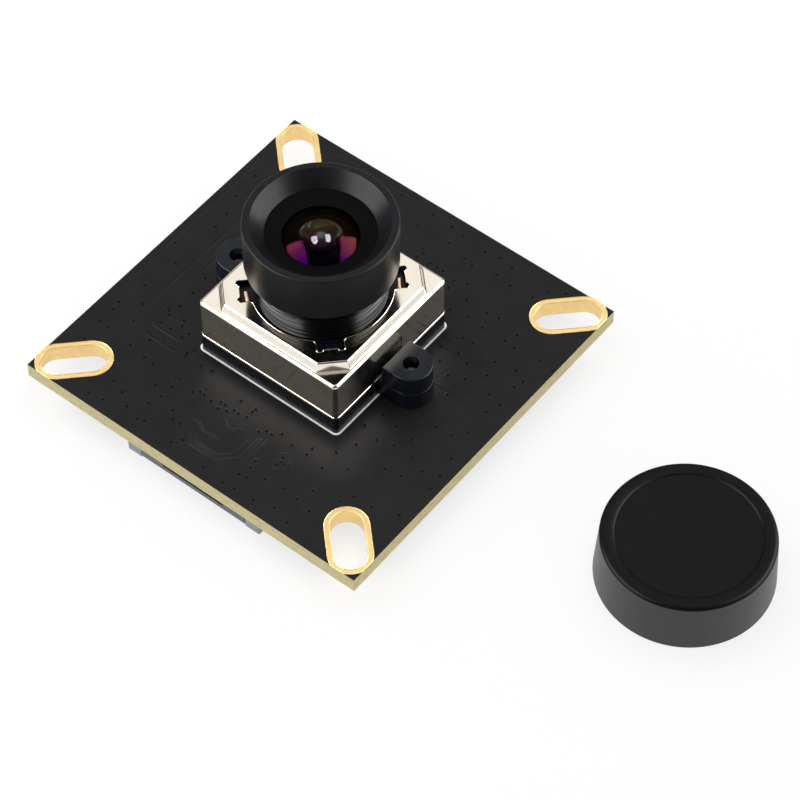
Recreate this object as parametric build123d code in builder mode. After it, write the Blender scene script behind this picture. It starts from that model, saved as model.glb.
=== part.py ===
# An autofocus camera module: a square circuit board carries an image sensor under a plastic
# holder, a voice-coil focus actuator in a bright sheet cover and a screw-in lens with a hood.
# A flat-cable connector hangs under the front edge, and the lens's push-on cap lies beside.
# Millimetres. The board's top face is z = 0 with its centre at the origin, its sides run
# along X and Y, and the lens points along +Z.
import os
from math import atan, cos, degrees, radians, sin, sqrt

from build123d import *

os.makedirs("parts", exist_ok=True)

# Circuit board
board_side = 38.0
board_thickness = 1.6
slot_inset = 3.0  # of each corner slot's centre, from both sides of the board
slot_width = 3.13  # clear width between the plated walls
slot_run = 3.11  # between the centres of a slot's round ends
plating = 0.05
pad_margin = 0.465  # width of the plated ring round a slot

# Lens axis, over the sensor's optical centre
axis_x = 0.0
axis_y = 0.2

# Holder base with its two screw bosses
holder_side = 15.88
holder_height = 2.03
holder_corner = 0.4
chamber_side = 13.0
chamber_height = 1.42
chamber_corner = 0.5
window_side = 8.4
filter_ledge = 0.32
boss_place = 10.1  # centre of each boss from the lens axis, along X
boss_radius = 2.05
boss_step = 0.05  # of the base's rounded edge, beyond the boss that rises from it
boss_gap = 0.43  # between the actuator cover and a boss
boss_top = 4.1
boss_rounding = 0.12
boss_bore = 0.75

# Module screws, driven from under the board
screw_radius = 0.7
screw_below_top = 1.15  # of the tip, under the top of the boss
screw_tip = 0.3
screw_head_radius = 1.25
screw_head_height = 0.6
screw_head_rounding = 0.2
screw_cross = (1.3, 0.3)  # length and width of the driver cross
screw_cross_depth = 0.35
board_screw_gap = 0.1  # radial, round the screw in the board

# Image sensor in its ceramic package
package_size = (11.4, 10.2)
package_height = 1.25
package_floor = 0.4
package_rounding = 0.3
well_size = (8.8, 7.4)
die_size = (7.6, 5.9)
die_thickness = 0.3
window_size = (10.4, 9.2)
window_thickness = 0.4
window_gap = 0.03
glass_chamfer = 0.08

# Infrared-cut filter
filter_side = 9.6
filter_thickness = 0.3
filter_gap = 0.05

# Actuator cover, one drawn sheet
cover_side = 15.88
cover_sheet = 0.2
cover_corner = 0.5
cover_lip = 0.06  # the trimmed foot stands out this far
cover_lip_height = 0.14
cover_lip_lean = 15.0  # degrees
cover_ledge = 6.65  # height of the narrow ledge and the low corner pads
cover_ledge_rounding = 0.3
cover_top = 7.53
plateau_foot = 15.1  # side of the raised octagon where it leaves the ledge
plateau_side = 14.54  # side of the raised octagon at its top
plateau_cut = 2.1  # leg of its cut corners, at the foot
plateau_corner = 0.3  # rounding of the octagon's corners
plateau_heel = 0.1  # of the hollow where it rises from the ledge
plateau_rounding = 0.18
opening_radius = 6.52
notch_half_width = 1.27
notch_reach = 7.45  # radius of a notch's middle edge
notch_ear_radius = 0.33
notch_ear_place = (7.37, 0.97)  # radius and sideways place of the rounded ears
notch_entry_rounding = 0.4

# Actuator inside the cover
inside_gap = 0.06  # between the cover's wall and what stands inside it
base_plate = 0.72
base_opening = 5.6
post_height = 0.5
post_cut = 5.1  # corner posts begin this far from the axis, along X and along Y
spring_sheet = 0.06
spring_frame_bore = 7.3
spring_ring = (6.42, 6.85)
spring_arm_radius = 7.06
spring_arm_width = 0.12
spring_arm_half_angle = 24.0
spring_link_lap = 0.1
spring_split = 0.3
first_corner = 45.0  # angle of the first of the four corners
magnet_height = 2.54
magnet_bore = 7.2
magnet_cut = 3.2
magnet_rounding = 0.15

# Lens carrier and coil, which travel along the axis
carrier_wall = 0.34
carrier_foot_wall = 0.2
carrier_flange = 6.9
lower_flange = 0.4
upper_flange = 0.7
carrier_top = 7.05
lug_gap = 0.15  # of the carrier's four lugs, in the notches of the cover
lug_lift = 0.1  # above the upper spring
lug_top = 6.9
coil_gap = 0.02
coil_radius = 6.84
coil_rounding = 0.1
tab_radii = (6.68, 7.0)  # copper tabs on two of the lugs, on which the coil's ends are wound
tab_width = 1.3
tab_top = 7.4
tab_angle = 4.3  # of their middle, from a notch's middle towards the front corner
tab_chamfer = 0.1

# Lens barrel
thread_radius = 6.0
thread_gap = 0.01
barrel_bottom = 3.35
barrel_chamfer = 0.35
hood_radius = 6.96
hood_bottom = 11.23
hood_top = 16.18
hood_rounding = 0.2
hood_lip = 6.22  # inner radius of the flat rim
hood_throat_z = 14.77
front_bore = 5.0
cell_bore = 4.0
cell_top = 12.6
cell_bottom = 3.95
cell_lip = 3.2
glass_fit = 0.03  # radial clearance of glass, spacers and stop in their bores

# Retaining ring
retainer_inner = 3.48
retainer_inner_z = 14.24
retainer_outer_z = 14.72
retainer_gap = 0.04  # above the front element's face

# Glass elements: rim heights, vertices and clear radii
front_rim_z = 13.6
front_vertex_z = 14.55
front_hollow_radius = 2.9
front_hollow_z = 14.07
dome_radius = 1.75
dome_rim = (10.9, 11.7)
dome_vertex_z = 13.45
third_rim = (9.3, 10.3)
third_sag = (0.4, 0.42)
fourth_rim = (6.6, 7.6)
fourth_sag = (0.5, 0.3)
rear_rim_top = 5.15
rear_sag = (0.25, 0.55)
spacer_bore = 3.3
stop_bore = 1.2
stop_sheet = 0.1
front_spacer_bores = (1.85, 3.05)  # at its foot and at its top

# Flat-cable connector under the front edge
fpc_x = 0.1
fpc_inset = 0.5  # of its front face, from the board's front side
fpc_width = 15.4
fpc_depth = 4.6
fpc_height = 2.0
fpc_rounding = 0.12
fpc_wall = 0.2  # between the cable's cavity and the board
cavity_height = 0.8
cavity_width = 11.7
cavity_depth = 4.0
tail_slot = 0.3
contact_count = 22
contact_pitch = 0.5
contact_width = 0.2
contact_sheet = 0.18
contact_gap = 0.02
contact_reach = (0.6, 1.5)  # of the two beams' ends, behind the front face
contact_spine = 0.3
contact_tail = (0.25, 0.75)  # step down and foot, behind the housing
latch_reach = 1.5  # from the pivot to the front face
latch_radius = 0.45
latch_gap = 0.1
latch_width = 12.0
latch_end_gap = 0.1
latch_lip = 0.15
finger_width = 7.0  # hollow in the middle of the latch, under the cable's mouth
finger_depth = 0.25
finger_reach = 0.6
latch_lift = 0.05  # of the closed latch above the housing's lower face
trunnion_radius = 0.22
trunnion_length = 0.45
trunnion_gap = 0.08
anchor_sheet = 0.2
anchor_size = (1.4, 1.2)
anchor_foot = 0.6
anchor_place = 2.4  # behind the front face

# Components on the underside
inductor_x = 8.5
inductor_inset = 4.0  # of the middle, from the board's back side
inductor_side = 3.0
inductor_height = fpc_height  # the board rests on these and on the connector
inductor_corner = 0.6
regulator_size = (2.9, 1.6, 1.0)
regulator_lift = 0.1
regulator_places = (-4.5, 0.0, 4.5)
regulator_y = 9.5
lead_width = 0.35
lead_sheet = 0.15
lead_pitch = 0.95
lead_reach = 0.55
lead_foot = 0.35
driver_size = (1.6, 1.2, 0.5)
driver_place = (-3.6, 4.0)
memory_size = (3.0, 2.0, 0.75)
memory_place = (3.6, 4.0)
clock_size = (2.5, 2.0, 0.7)
clock_place = (0.0, -2.0)
clock_lid = (2.1, 1.6, 0.12)
chip_length = 1.0
chip_side = 0.5
chip_height = 0.5
resistor_height = 0.35
terminal_length = 0.25
terminal_proud = 0.02
chip_spacing = (1.7, 1.3)
capacitor_places = ((-12.2, 7.5), (12.2, 7.5), (0.0, -10.6))  # centres of the blocks
capacitor_count = ((3, 3), (3, 3), (8, 1))  # columns and rows in each block
resistor_places = ((0.0, -6.4),)
resistor_count = ((6, 2),)

# Lens cap, lying mouth down beside the board
cap_apart = 12.39  # between the board's right side and the cap
cap_y = 1.76
cap_height = 5.5
cap_gap = 0.1  # round the hood when it is on
cap_foot_wall = 1.03
cap_top_wall = 0.71  # its side leans in from the foot to the top
cap_roof = 0.9
cap_rounding = 0.4
cap_margin = 1.22  # round the shallow panel in its top
cap_panel_depth = 0.12

# Places that follow from the sizes above
board_bottom = -board_thickness
rest_z = board_bottom - fpc_height
lens_axis = Axis((axis_x, axis_y, 0), (0, 0, 1))
lens_section = Plane(origin=(axis_x, axis_y, 0), x_dir=(1, 0, 0), z_dir=(0, -1, 0))
slot_ring = (board_side / 2 - slot_inset) * sqrt(2)
boss_flat = cover_side / 2 + boss_gap
inner_side = cover_side - 2 * (cover_sheet + inside_gap)
ledge_under = cover_ledge - cover_sheet
base_top = holder_height + base_plate
lower_spring_z = base_top + post_height
magnet_foot = lower_spring_z + spring_sheet
magnet_top = magnet_foot + magnet_height
upper_spring_z = ledge_under - spring_sheet
carrier_bore = thread_radius + thread_gap
coil_seat = carrier_bore + carrier_wall
lower_flange_top = magnet_foot + lower_flange
upper_flange_foot = upper_spring_z - upper_flange


def level(z):
    """The plane square to the lens axis at height z."""
    return Plane(origin=(axis_x, axis_y, z))


def under_board(height):
    """The plane of a component's lower face, for a component of this height on the underside."""
    return Plane.XY.offset(board_bottom - height)


def across(x):
    """The plane x = const, with Y to its right and Z up."""
    return Plane(origin=(x, 0, 0), x_dir=(0, 1, 0), z_dir=(1, 0, 0))


def polar(radius, angle):
    """The point at this radius and angle in degrees."""
    return (radius * cos(radians(angle)), radius * sin(radians(angle)))


# Circuit board
with BuildPart() as circuit_board:
    with BuildSketch(Plane.XY.offset(board_bottom)):
        Rectangle(board_side, board_side)
        with PolarLocations(slot_ring, 4, 45):
            SlotCenterToCenter(slot_run, slot_width + 2 * plating, mode=Mode.SUBTRACT)
        with Locations((axis_x - boss_place, axis_y), (axis_x + boss_place, axis_y)):
            Circle(screw_radius + board_screw_gap, mode=Mode.SUBTRACT)
    extrude(amount=board_thickness)
circuit_board.part.label = "circuit_board"
export_step(circuit_board.part, "parts/circuit_board.step")

# Slot plating: a wall through each slot with a ring on both faces, cut off by the board's sides
with BuildPart() as slot_plating:
    for ring_z in (board_bottom - plating, 0):
        with BuildSketch(Plane.XY.offset(ring_z)):
            with PolarLocations(slot_ring, 4, 45):
                SlotCenterToCenter(slot_run, slot_width + 2 * pad_margin)
            Rectangle(board_side, board_side, mode=Mode.INTERSECT)
            with PolarLocations(slot_ring, 4, 45):
                SlotCenterToCenter(slot_run, slot_width, mode=Mode.SUBTRACT)
        extrude(amount=plating)
    with BuildSketch(Plane.XY.offset(board_bottom)):
        with PolarLocations(slot_ring, 4, 45):
            SlotCenterToCenter(slot_run, slot_width + 2 * plating)
        with PolarLocations(slot_ring, 4, 45):
            SlotCenterToCenter(slot_run, slot_width, mode=Mode.SUBTRACT)
    extrude(amount=board_thickness)
slot_plating.part.label = "slot_plating"
export_step(slot_plating.part, "parts/slot_plating.step")

# Holder base: a moulded box over the sensor, with two U-shaped screw bosses beside it
boss_places = ((-boss_place, 0), (boss_place, 0))
boss_upper = boss_radius - boss_step
with BuildPart() as holder_base:
    with BuildSketch(level(0)):
        RectangleRounded(holder_side, holder_side, holder_corner)
        Rectangle(2 * boss_place, 2 * boss_radius)
        with Locations(*boss_places):
            Circle(boss_radius)
    extrude(amount=holder_height)
    base_rim = holder_base.edges().group_by(Axis.Z)[-1]
    fillet(base_rim.filter_by(GeomType.CIRCLE).group_by(SortBy.RADIUS)[-1], boss_step)
    with BuildSketch(level(holder_height - boss_step)):
        with Locations(*boss_places):
            Circle(boss_upper)
        Rectangle(2 * boss_place, 2 * boss_upper)
        Rectangle(2 * boss_flat, 3 * boss_upper, mode=Mode.SUBTRACT)
    extrude(amount=boss_top - holder_height + boss_step)
    fillet(holder_base.edges().group_by(Axis.Z)[-1], boss_rounding)
    with BuildSketch(level(0)):
        with Locations(*boss_places):
            Circle(boss_bore)
    extrude(amount=boss_top, mode=Mode.SUBTRACT)
    with BuildSketch(level(0)):
        RectangleRounded(chamber_side, chamber_side, chamber_corner)
    extrude(amount=chamber_height, mode=Mode.SUBTRACT)
    with BuildSketch(level(chamber_height)):
        Rectangle(window_side, window_side)
    extrude(amount=holder_height - chamber_height, mode=Mode.SUBTRACT)
    with BuildSketch(level(holder_height - filter_ledge)):
        Rectangle(filter_side + 2 * filter_gap, filter_side + 2 * filter_gap)
    extrude(amount=filter_ledge, mode=Mode.SUBTRACT)
holder_base.part.label = "holder_base"
export_step(holder_base.part, "parts/holder_base.step")

# Module screws: domed heads under the board, tips just short of the tops of the bosses
screw_end = boss_top - screw_below_top
with BuildPart() as module_screws:
    with BuildSketch(level(board_bottom - screw_head_height)):
        with Locations(*boss_places):
            Circle(screw_head_radius)
    extrude(amount=screw_head_height)
    fillet(module_screws.edges().group_by(Axis.Z)[0], screw_head_rounding)
    with BuildSketch(level(board_bottom)):
        with Locations(*boss_places):
            Circle(screw_radius)
    extrude(amount=screw_end - board_bottom)
    chamfer(module_screws.edges().group_by(Axis.Z)[-1], screw_tip)
    with BuildSketch(level(board_bottom - screw_head_height)):
        with Locations(*boss_places):
            Rectangle(screw_cross[0], screw_cross[1])
            Rectangle(screw_cross[1], screw_cross[0])
    extrude(amount=screw_cross_depth, mode=Mode.SUBTRACT)
module_screws.part.label = "module_screws"
export_step(module_screws.part, "parts/module_screws.step")

# Sensor package: a ceramic tray with a well for the die and a ledge for its window
with BuildPart() as sensor_package:
    with BuildSketch(level(0)):
        RectangleRounded(package_size[0], package_size[1], package_rounding)
    extrude(amount=package_height)
    with BuildSketch(level(package_floor)):
        Rectangle(*well_size)
    extrude(amount=package_height - package_floor, mode=Mode.SUBTRACT)
    with BuildSketch(level(package_height - window_thickness)):
        Rectangle(window_size[0] + 2 * window_gap, window_size[1] + 2 * window_gap)
    extrude(amount=window_thickness, mode=Mode.SUBTRACT)
sensor_package.part.label = "sensor_package"
export_step(sensor_package.part, "parts/sensor_package.step")

# Sensor die
with BuildPart() as sensor_die:
    with BuildSketch(level(package_floor)):
        Rectangle(*die_size)
    extrude(amount=die_thickness)
sensor_die.part.label = "sensor_die"
export_step(sensor_die.part, "parts/sensor_die.step")

# Sensor window
with BuildPart() as sensor_window:
    with BuildSketch(level(package_height - window_thickness)):
        Rectangle(*window_size)
    extrude(amount=window_thickness)
    chamfer(sensor_window.edges().group_by(Axis.Z)[-1], glass_chamfer)
sensor_window.part.label = "sensor_window"
export_step(sensor_window.part, "parts/sensor_window.step")

# Infrared-cut filter on the holder's ledge
with BuildPart() as infrared_filter:
    with BuildSketch(level(holder_height - filter_ledge)):
        Rectangle(filter_side, filter_side)
    extrude(amount=filter_thickness)
    chamfer(infrared_filter.edges().group_by(Axis.Z)[-1], glass_chamfer)
infrared_filter.part.label = "infrared_filter"
export_step(infrared_filter.part, "parts/infrared_filter.step")


def corner_blocks(side, bore, cut):
    """Draws the four corners of a square that lie outside a round bore and past a cut."""
    Rectangle(side, side)
    Circle(bore, mode=Mode.SUBTRACT)
    Rectangle(side, 2 * cut, mode=Mode.SUBTRACT)
    Rectangle(2 * cut, side, mode=Mode.SUBTRACT)


# Actuator base: closes the cover from below, with corner posts for the lower spring
with BuildPart() as actuator_base:
    with BuildSketch(level(holder_height)):
        RectangleRounded(inner_side, inner_side, cover_corner - cover_sheet)
        Circle(base_opening, mode=Mode.SUBTRACT)
    extrude(amount=base_plate)
    with BuildSketch(level(base_top)):
        corner_blocks(inner_side, magnet_bore, post_cut)
        RectangleRounded(inner_side, inner_side, cover_corner - cover_sheet, mode=Mode.INTERSECT)
    extrude(amount=post_height)
actuator_base.part.label = "actuator_base"
export_step(actuator_base.part, "parts/actuator_base.step")


def leaf_spring():
    """Draws a leaf spring: a frame with corner lands, a ring for the carrier and four arms."""
    RectangleRounded(inner_side, inner_side, cover_corner - cover_sheet)
    Circle(spring_frame_bore, mode=Mode.SUBTRACT)
    Circle(spring_ring[1])
    Circle(spring_ring[0], mode=Mode.SUBTRACT)
    for quarter in range(4):
        start = first_corner + 90 * quarter - spring_arm_half_angle
        end = start + 2 * spring_arm_half_angle
        with BuildLine() as arm:
            Line(polar(spring_ring[1] - spring_link_lap, start), polar(spring_arm_radius, start))
            CenterArc((0, 0), spring_arm_radius, start, 2 * spring_arm_half_angle)
            Line(polar(spring_arm_radius, end), polar(spring_frame_bore + spring_link_lap, end))
        trace(arm.edges(), line_width=spring_arm_width)


# Lower spring, split along Y so that each half feeds one end of the coil
with BuildPart() as lower_spring:
    with BuildSketch(level(lower_spring_z)):
        leaf_spring()
        Rectangle(spring_split, 2 * inner_side, mode=Mode.SUBTRACT)
    extrude(amount=spring_sheet)
lower_spring.part.label = "lower_spring"
export_step(lower_spring.part, "parts/lower_spring.step")

# Upper spring
with BuildPart() as upper_spring:
    with BuildSketch(level(upper_spring_z)):
        leaf_spring()
    extrude(amount=spring_sheet)
upper_spring.part.label = "upper_spring"
export_step(upper_spring.part, "parts/upper_spring.step")

# Corner magnets, hollowed round the coil
with BuildPart() as magnets:
    with BuildSketch(level(magnet_foot)):
        corner_blocks(inner_side, magnet_bore, magnet_cut)
    extrude(amount=magnet_height)
    fillet(magnets.edges().filter_by(Axis.Z), magnet_rounding)
magnets.part.label = "magnets"
export_step(magnets.part, "parts/magnets.step")

# Spring spacer: the frame between the magnets and the upper spring
with BuildPart() as spring_spacer:
    with BuildSketch(level(magnet_top)):
        RectangleRounded(inner_side, inner_side, cover_corner - cover_sheet)
        Circle(magnet_bore, mode=Mode.SUBTRACT)
    extrude(amount=upper_spring_z - magnet_top)
spring_spacer.part.label = "spring_spacer"
export_step(spring_spacer.part, "parts/spring_spacer.step")


# Actuator cover: a drawn can whose top steps up to an octagon with a round opening, from
# which a notch with two rounded ears runs out towards each corner
riser = cover_top - cover_ledge
riser_lean = degrees(atan((plateau_foot - plateau_side) / 2 / riser))
with BuildPart() as actuator_cover:
    with BuildSketch(level(holder_height)):
        RectangleRounded(cover_side, cover_side, cover_corner)
    extrude(amount=cover_ledge - holder_height)
    fillet(actuator_cover.edges().group_by(Axis.Z)[-1], cover_ledge_rounding)
    with BuildSketch(level(cover_ledge)) as plateau_plan:
        Rectangle(plateau_foot, plateau_foot)
        chamfer(plateau_plan.vertices(), plateau_cut)
        fillet(plateau_plan.vertices(), plateau_corner)
    extrude(amount=riser, taper=riser_lean)
    plateau_edges = actuator_cover.edges(Select.LAST).group_by(Axis.Z)
    fillet(plateau_edges[0], plateau_heel)
    fillet(actuator_cover.edges().group_by(Axis.Z)[-1], plateau_rounding)
    with BuildSketch(level(holder_height)):
        lip_side = cover_side + 2 * cover_lip
        RectangleRounded(lip_side, lip_side, cover_corner + cover_lip)
    extrude(amount=cover_lip_height, taper=cover_lip_lean)
    with BuildSketch(level(holder_height)):
        RectangleRounded(
            cover_side - 2 * cover_sheet, cover_side - 2 * cover_sheet, cover_corner - cover_sheet
        )
    extrude(amount=ledge_under - holder_height, mode=Mode.SUBTRACT)
    with BuildSketch(level(ledge_under)) as hollow_plan:
        Rectangle(plateau_foot - 2 * cover_sheet, plateau_foot - 2 * cover_sheet)
        chamfer(hollow_plan.vertices(), plateau_cut)
    extrude(amount=riser, taper=riser_lean, mode=Mode.SUBTRACT)
    with BuildSketch(level(ledge_under)) as opening_plan:
        Circle(opening_radius)
        with PolarLocations(0, 4, first_corner):
            with Locations((notch_reach / 2, 0)):
                Rectangle(notch_reach, 2 * notch_half_width)
        mouths = opening_plan.vertices().filter_by(
            lambda v: (v.X**2 + v.Y**2) ** 0.5 < opening_radius + notch_ear_radius
        )
        fillet(mouths, notch_entry_rounding)
        with PolarLocations(0, 4, first_corner):
            with Locations(notch_ear_place, (notch_ear_place[0], -notch_ear_place[1])):
                Circle(notch_ear_radius)
    extrude(amount=cover_top - ledge_under, mode=Mode.SUBTRACT)
actuator_cover.part.label = "actuator_cover"
export_step(actuator_cover.part, "parts/actuator_cover.step")

# Lens carrier: a threaded sleeve with a flange above and below the coil, and a lug in each notch
# of the cover, which keeps it from turning
lug_foot = upper_spring_z + spring_sheet + lug_lift
with BuildPart() as lens_carrier:
    with BuildSketch(lens_section):
        with BuildLine():
            Polyline(
                (carrier_bore, base_top),
                (carrier_bore + carrier_foot_wall, base_top),
                (carrier_bore + carrier_foot_wall, magnet_foot),
                (carrier_flange, magnet_foot),
                (carrier_flange, lower_flange_top),
                (coil_seat, lower_flange_top),
                (coil_seat, upper_flange_foot),
                (carrier_flange, upper_flange_foot),
                (carrier_flange, upper_spring_z),
                (coil_seat, upper_spring_z),
                (coil_seat, carrier_top),
                (carrier_bore, carrier_top),
                close=True,
            )
        make_face()
    revolve(axis=lens_axis)
    with BuildSketch(level(lug_foot)):
        with PolarLocations(0, 4, first_corner):
            with Locations(((notch_reach - lug_gap) / 2, 0)):
                Rectangle(notch_reach - lug_gap, 2 * (notch_half_width - lug_gap))
        Circle((carrier_bore + coil_seat) / 2, mode=Mode.SUBTRACT)
    extrude(amount=lug_top - lug_foot)
lens_carrier.part.label = "lens_carrier"
export_step(lens_carrier.part, "parts/lens_carrier.step")

# Coil, wound between the carrier's flanges
with BuildPart() as focus_coil:
    with BuildSketch(level(lower_flange_top)):
        Circle(coil_radius)
        Circle(coil_seat + coil_gap, mode=Mode.SUBTRACT)
    extrude(amount=upper_flange_foot - lower_flange_top)
    coil_rims = focus_coil.edges().filter_by(GeomType.CIRCLE)
    fillet(coil_rims.sort_by(SortBy.RADIUS)[-2:], coil_rounding)
focus_coil.part.label = "focus_coil"
export_step(focus_coil.part, "parts/focus_coil.step")

# Coil tabs: copper strips that stand on the lugs in the left and right notches
with BuildPart() as coil_tabs:
    with BuildSketch(level(lug_top)):
        for angle in (first_corner - tab_angle, first_corner + 180 + tab_angle):
            with PolarLocations(sum(tab_radii) / 2, 1, angle):
                Rectangle(tab_radii[1] - tab_radii[0], tab_width)
    extrude(amount=tab_top - lug_top)
    chamfer(coil_tabs.edges().group_by(Axis.Z)[-1], tab_chamfer)
coil_tabs.part.label = "coil_tabs"
export_step(coil_tabs.part, "parts/coil_tabs.step")

# Lens barrel: an M12 body and its hood, turned as one piece
with BuildPart() as lens_barrel:
    with BuildSketch(lens_section):
        with BuildLine():
            Polyline(
                (cell_lip, barrel_bottom),
                (thread_radius - barrel_chamfer, barrel_bottom),
                (thread_radius, barrel_bottom + barrel_chamfer),
                (thread_radius, hood_bottom),
                (hood_radius, hood_bottom),
                (hood_radius, hood_top - hood_rounding),
            )
            RadiusArc(
                (hood_radius, hood_top - hood_rounding),
                (hood_radius - hood_rounding, hood_top),
                -hood_rounding,
            )
            Polyline(
                (hood_radius - hood_rounding, hood_top),
                (hood_lip, hood_top),
                (front_bore, hood_throat_z),
                (front_bore, cell_top),
                (cell_bore, cell_top),
                (cell_bore, cell_bottom),
                (cell_lip, cell_bottom),
                (cell_lip, barrel_bottom),
            )
        make_face()
    revolve(axis=lens_axis)
lens_barrel.part.label = "lens_barrel"
export_step(lens_barrel.part, "parts/lens_barrel.step")

# Retaining ring: a black funnel that holds the front element
front_radius = front_bore - glass_fit
front_sag = front_vertex_z - front_rim_z
front_curve = (front_radius**2 + front_sag**2) / (2 * front_sag)
retainer_inner_foot = (
    front_vertex_z - front_curve + sqrt(front_curve**2 - retainer_inner**2) + retainer_gap
)
with BuildPart() as retaining_ring:
    with BuildSketch(lens_section):
        with BuildLine():
            Polyline(
                (front_radius, front_rim_z + retainer_gap),
                (front_radius, retainer_outer_z),
                (retainer_inner, retainer_inner_z),
                (retainer_inner, retainer_inner_foot),
                close=True,
            )
        make_face()
    revolve(axis=lens_axis)
retaining_ring.part.label = "retaining_ring"
export_step(retaining_ring.part, "parts/retaining_ring.step")


def glass_profile(clear, rim, sag):
    """Draws half the section of a cell element: a flat rim round faces that bulge by sag."""
    with BuildLine() as outline:
        TangentArc((0, rim[1] + sag[1]), (clear, rim[1]), tangent=(1, 0))
        Polyline((clear, rim[1]), (cell_radius, rim[1]), (cell_radius, rim[0]), (clear, rim[0]))
        TangentArc((0, rim[0] - sag[0]), (clear, rim[0]), tangent=(1, 0))
        Line((0, rim[0] - sag[0]), (0, rim[1] + sag[1]))
    make_face(outline.edges())


# Front element: a meniscus, hollowed steeply behind
with BuildPart() as front_element:
    with BuildSketch(lens_section):
        with BuildLine():
            TangentArc((0, front_vertex_z), (front_radius, front_rim_z), tangent=(1, 0))
            Line((front_radius, front_rim_z), (front_radius, cell_top))
            Line((front_radius, cell_top), (front_hollow_radius, cell_top))
            TangentArc((0, front_hollow_z), (front_hollow_radius, cell_top), tangent=(1, 0))
            Line((0, front_hollow_z), (0, front_vertex_z))
        make_face()
    revolve(axis=lens_axis)
front_element.part.label = "front_element"
export_step(front_element.part, "parts/front_element.step")

# Second element: a deep dome on a flat flange
cell_radius = cell_bore - glass_fit
with BuildPart() as second_element:
    with BuildSketch(lens_section):
        with BuildLine():
            TangentArc((0, dome_vertex_z), (dome_radius, dome_rim[1]), tangent=(1, 0))
            Polyline(
                (dome_radius, dome_rim[1]),
                (cell_radius, dome_rim[1]),
                (cell_radius, dome_rim[0]),
                (0, dome_rim[0]),
                (0, dome_vertex_z),
            )
        make_face()
    revolve(axis=lens_axis)
second_element.part.label = "second_element"
export_step(second_element.part, "parts/second_element.step")

# Third element
with BuildPart() as third_element:
    with BuildSketch(lens_section):
        glass_profile(spacer_bore, third_rim, third_sag)
    revolve(axis=lens_axis)
third_element.part.label = "third_element"
export_step(third_element.part, "parts/third_element.step")

# Fourth element
with BuildPart() as fourth_element:
    with BuildSketch(lens_section):
        glass_profile(spacer_bore, fourth_rim, fourth_sag)
    revolve(axis=lens_axis)
fourth_element.part.label = "fourth_element"
export_step(fourth_element.part, "parts/fourth_element.step")

# Rear element
with BuildPart() as rear_element:
    with BuildSketch(lens_section):
        glass_profile(cell_lip, (cell_bottom, rear_rim_top), rear_sag)
    revolve(axis=lens_axis)
rear_element.part.label = "rear_element"
export_step(rear_element.part, "parts/rear_element.step")

# Front spacer: the black funnel round the dome, between the second and the front element
with BuildPart() as front_spacer:
    with BuildSketch(lens_section):
        with BuildLine():
            Polyline(
                (front_spacer_bores[0], dome_rim[1]),
                (cell_radius, dome_rim[1]),
                (cell_radius, cell_top),
                (front_spacer_bores[1], cell_top),
                close=True,
            )
        make_face()
    revolve(axis=lens_axis)
front_spacer.part.label = "front_spacer"
export_step(front_spacer.part, "parts/front_spacer.step")

# Aperture stop: a thin black disc against the second element
stop_z = dome_rim[0] - stop_sheet
with BuildPart() as aperture_stop:
    with BuildSketch(level(stop_z)):
        Circle(cell_radius)
        Circle(stop_bore, mode=Mode.SUBTRACT)
    extrude(amount=stop_sheet)
aperture_stop.part.label = "aperture_stop"
export_step(aperture_stop.part, "parts/aperture_stop.step")


def spacer_tube(foot, top):
    """Draws and raises a plain spacer tube between two heights."""
    with BuildSketch(level(foot)) as ring:
        Circle(cell_radius)
        Circle(spacer_bore, mode=Mode.SUBTRACT)
    extrude(ring.sketch, amount=top - foot)


# Stop spacer
with BuildPart() as stop_spacer:
    spacer_tube(third_rim[1], stop_z)
stop_spacer.part.label = "stop_spacer"
export_step(stop_spacer.part, "parts/stop_spacer.step")

# Middle spacer
with BuildPart() as middle_spacer:
    spacer_tube(fourth_rim[1], third_rim[0])
middle_spacer.part.label = "middle_spacer"
export_step(middle_spacer.part, "parts/middle_spacer.step")

# Rear spacer
with BuildPart() as rear_spacer:
    spacer_tube(rear_rim_top, fourth_rim[0])
rear_spacer.part.label = "rear_spacer"
export_step(rear_spacer.part, "parts/rear_spacer.step")

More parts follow.
